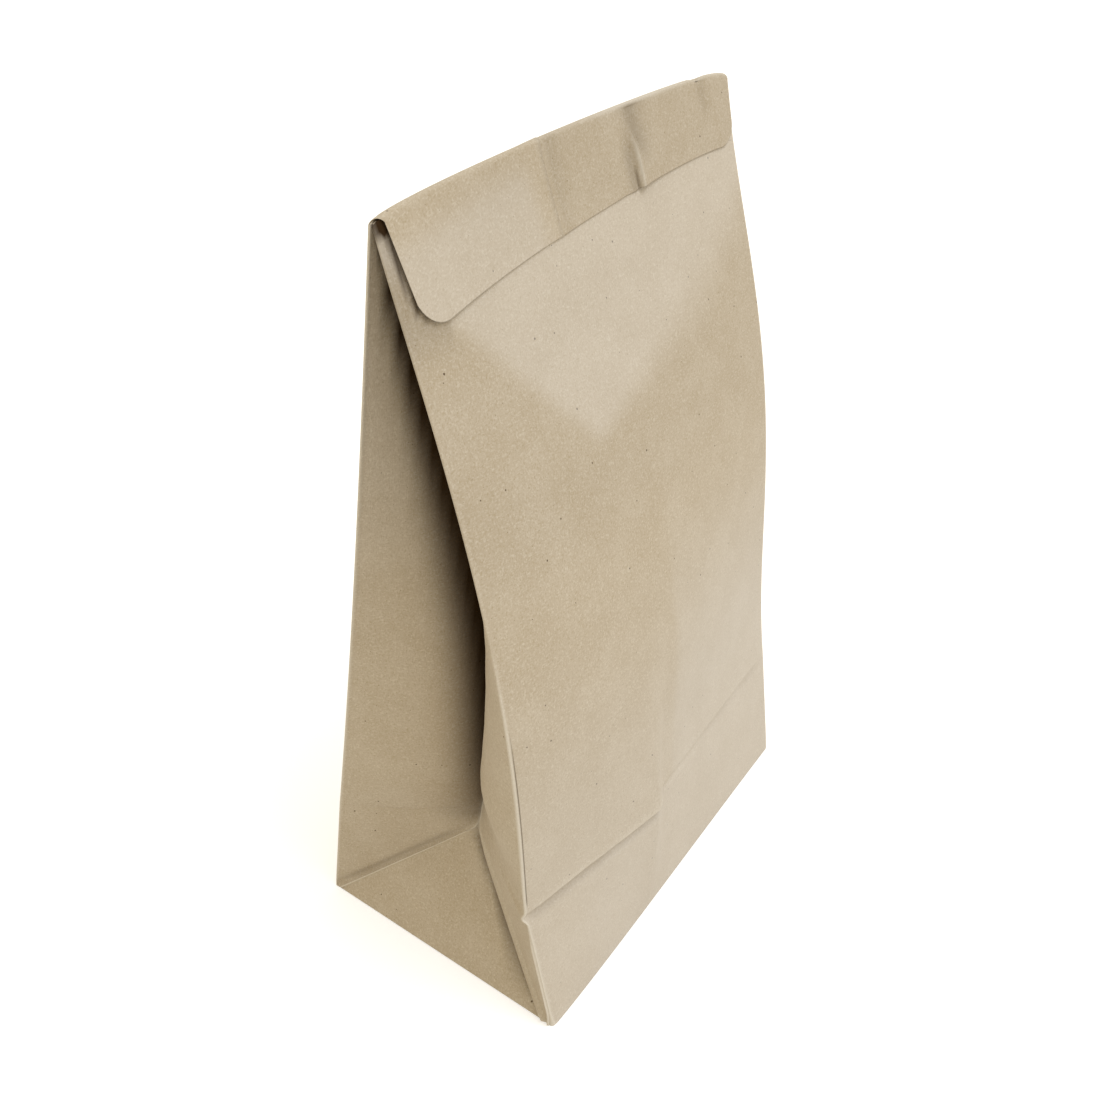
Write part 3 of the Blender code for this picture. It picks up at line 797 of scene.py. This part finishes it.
def finished(name, data):
    """A plain mesh object from this mesh, with its waves and the thickness of the paper."""
    rough = put(name + "_rough", data)
    waves = rough.modifiers.new("waves", "NODES")
    waves.node_group = cockle
    for setting, value in (*COCKLE.items(), ("Paper", kraft)):
        waves[sockets[setting]] = value
    wall = rough.modifiers.new("wall", "SOLIDIFY")
    wall.thickness, wall.offset = PAPER, 0.0
    graph = bpy.context.evaluated_depsgraph_get()
    plain = bpy.data.meshes.new_from_object(rough.evaluated_get(graph))
    bpy.data.objects.remove(rough)
    plain.name = name
    return put(name, plain)


sheet = finished("bag_sheet", sheet_data)
sheet.data.set_sharp_from_angle(angle=math.radians(60))
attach(sheet, "root")
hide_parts("paper_bag")

# The block bottom. The end of the tube is opened square and its long flaps are glued over each
# other, so the underside shows one flap with slanted ends lying on another and on the tucked
# triangles of the sides. A strip of paste holds them.

FLAP_INSET = 0.0008
FLAP_SLANT = 0.044
verts, polys = [], []
for near_side, reach, low_z in ((-1, 0.052, 0.00018), (1, 0.060, 0.00004)):
    start = near_side * (DEPTH / 2 - FLAP_INSET)
    end = start - near_side * reach
    wide = WIDTH / 2 - FLAP_INSET
    narrow = wide - FLAP_SLANT
    outline = [(-wide, start), (-narrow, end), (narrow, end), (wide, start)]
    if near_side < 0:
        outline.reverse()
    base = len(verts)
    verts += [(x, y, low_z) for x, y in outline] + [(x, y, low_z + PAPER) for x, y in outline]
    polys += [(base, base + 1, base + 2, base + 3), (base + 7, base + 6, base + 5, base + 4)]
    for k, after in ((0, 1), (1, 2), (2, 3), (3, 0)):
        polys.append((base + k, base + 4 + k, base + 4 + after, base + after))
flap_data = bpy.data.meshes.new("bottom_flaps")
flap_data.from_pydata(verts, [], polys)
lay_flat(flap_data, np.array(verts)[corners_of(flap_data), :2])
flap_data.materials.append(kraft)
flaps = put("bottom_flaps", flap_data)
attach(flaps, "root")

# The back seam. The sheet's two long edges overlap by 15 mm on the back and are pasted, so one
# cut edge shows as a fine straight step, from the foot over the roll and down the lip. The other
# edge is hidden: the strip sinks into the sheet there.

SEAM_EDGE = 0.371
SEAM_WIDTH = 0.015
SEAM_STAND = (1.0, -0.9)
seam_share = 1 - (SEAM_EDGE - np.linspace(0.0, SEAM_WIDTH / WIDTH, 7))
column_share = np.array([0.0, *RUNS[3], 1.0])
seam_rows = np.concatenate([tube[2:, mouth], lip])
seam_normals = np.concatenate([facing[2:, mouth], lip_facing])
no_tone = np.zeros(tube[2:, mouth].shape[:2])
stand = np.linspace(*SEAM_STAND, len(seam_share))[:, None] * PAPER


def on_seam(values):
    """What the seam takes over from the back panel and the lip, row by row."""
    return np.array([np.interp(seam_share, column_share, row) for row in values])


seam_grid = np.stack([on_seam(seam_rows[:, :, k]) for k in range(3)], axis=-1)
seam_grid += np.stack([on_seam(seam_normals[:, :, k]) for k in range(3)], axis=-1) * stand
seam_index = np.arange(seam_grid[:, :, 0].size).reshape(seam_grid.shape[:2])
seam_faces = quads_between(seam_index).tolist()
seam_data = bpy.data.meshes.new("back_seam")
seam_data.from_pydata(seam_grid.reshape(-1, 3).tolist(), [], seam_faces)
# The seam carries the lip's painted light, painted shade and fold wear with painted highlight.
for name, on_back, on_lip in (
    ("painted_light_map", no_tone, lip_painted_light),
    ("painted_shade_map", no_tone, lip_painted_shade),
    ("fold_wear_and_highlight", no_tone, lip_wear_and_highlight),
    ("looseness", loose[2:, mouth], loose_lip),
):
    store(seam_data, name, on_seam(np.concatenate([on_back, on_lip])))
seam_steps = np.diff(seam_grid[:, :1], axis=0, prepend=0)
seam_length = np.cumsum(np.linalg.norm(seam_steps, axis=2), axis=0)
seam_uv = np.stack(np.broadcast_arrays(seam_share * WIDTH, seam_length), axis=-1)
lay_flat(seam_data, seam_uv.reshape(-1, 2)[corners_of(seam_data)])
seam_data.shade_smooth()
seam = finished("back_seam", seam_data)
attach(seam, "root")

# The stage: a plain pale floor that stays white to the eye and keeps the bag's soft shadow.

floor_data = bpy.data.meshes.new("floor")
floor_data.from_pydata([(-20, -20, 0), (20, -20, 0), (20, 20, 0), (-20, 20, 0)], [], [(0, 1, 2, 3)])
floor = put("floor", floor_data)
pale = bpy.data.materials.new("pale_studio_floor")
pale.use_nodes = True
ground = pale.node_tree
matt = ground.nodes["Principled BSDF"]
matt.inputs["Base Color"].default_value = linear("#E4E2DE")
matt.inputs["Roughness"].default_value = 0.95
glow = add(ground, "ShaderNodeEmission", {"Color": (1, 1, 1, 1), "Strength": 0.5})
both = add(ground, "ShaderNodeAddShader", {0: matt.outputs[0], 1: glow.outputs[0]})
floor_data.materials.append(pale)

# The light: an even, slightly warm fill from all round, one broad lamp above the front and a
# small softbox low at the front right. What the eye sees of floor and sky is brighter than the
# light that they give to the paper.

world = bpy.data.worlds.new("studio")
bpy.context.scene.world = world
world.use_nodes = True
sky = world.node_tree
fill = sky.nodes["Background"]
fill.inputs["Color"].default_value = linear("#FFF6E2")
fill.inputs["Strength"].default_value = 0.80
white = add(sky, "ShaderNodeBackground", {"Color": (1, 1, 1, 1), "Strength": 1.0})
for tree, lit, bright, output in (
    (ground, matt, both, "Material Output"),
    (sky, fill, white, "World Output"),
):
    ray = add(tree, "ShaderNodeLightPath")
    plain = ray.outputs["Is Camera Ray"]
    for kind in ("Is Glossy Ray", "Is Transmission Ray"):
        either = {0: plain, 1: ray.outputs[kind]}
        plain = add(tree, "ShaderNodeMath", either, operation="MAXIMUM").outputs[0]
    seen = add(tree, "ShaderNodeMixShader", {0: plain, 1: lit.outputs[0], 2: bright.outputs[0]})
    tree.links.new(seen.outputs[0], tree.nodes[output].inputs["Surface"])

lamp_data = bpy.data.lights.new("broad_lamp", "SUN")
lamp_data.energy = 1.20
lamp_data.color = linear("#DCE8FF")[:3]
lamp_data.angle = math.radians(35)
lamp = put("broad_lamp", lamp_data)
lamp.rotation_euler = Vector((0.10, -0.48, 0.87)).to_track_quat("Z", "Y").to_euler()
side_data = bpy.data.lights.new("low_softbox", "AREA")
side_data.energy = 0.11
side_data.color = linear("#DCE8FF")[:3]
side_data.size = 0.25
side = put("low_softbox", side_data)
side.location = (0.28, -0.32, 0.10)
side.rotation_euler = Vector((0.28, -0.30, 0.06)).to_track_quat("Z", "Y").to_euler()

# The camera stands above and left of the bag's front, close to it. Its focal length and the
# place of its axis are given in pixels of a square picture.

PICTURE = 1100
FOCAL_PIXELS = 999.9
AXIS_PIXEL = (501.7, 571.1)
EYE_AIM = (-0.035, -0.0005, 0.1268)
EYE_DISTANCE = 0.2878
turn, tilt, roll = (math.radians(a) for a in (-51.86, 32.37, -1.98))
back = Vector((math.sin(turn) * math.cos(tilt), -math.cos(turn) * math.cos(tilt), math.sin(tilt)))
right = (-back).cross(Vector((0, 0, 1))).normalized()
up = right.cross(-back)
eye_right = right * math.cos(roll) + up * math.sin(roll)
eye_up = up * math.cos(roll) - right * math.sin(roll)
camera_data = bpy.data.cameras.new("camera")
camera = put("camera", camera_data)
eye = Matrix.Translation(Vector(EYE_AIM) + back * EYE_DISTANCE)
camera.matrix_world = eye @ Matrix((eye_right, eye_up, back)).transposed().to_4x4()
camera_data.sensor_width = 36
camera_data.lens = FOCAL_PIXELS / PICTURE * 36
camera_data.shift_x = (PICTURE / 2 - AXIS_PIXEL[0]) / PICTURE
camera_data.shift_y = (AXIS_PIXEL[1] - PICTURE / 2) / PICTURE
camera_data.clip_start = 0.01
bpy.context.scene.camera = camera
bpy.context.scene.view_settings.view_transform = "Standard"
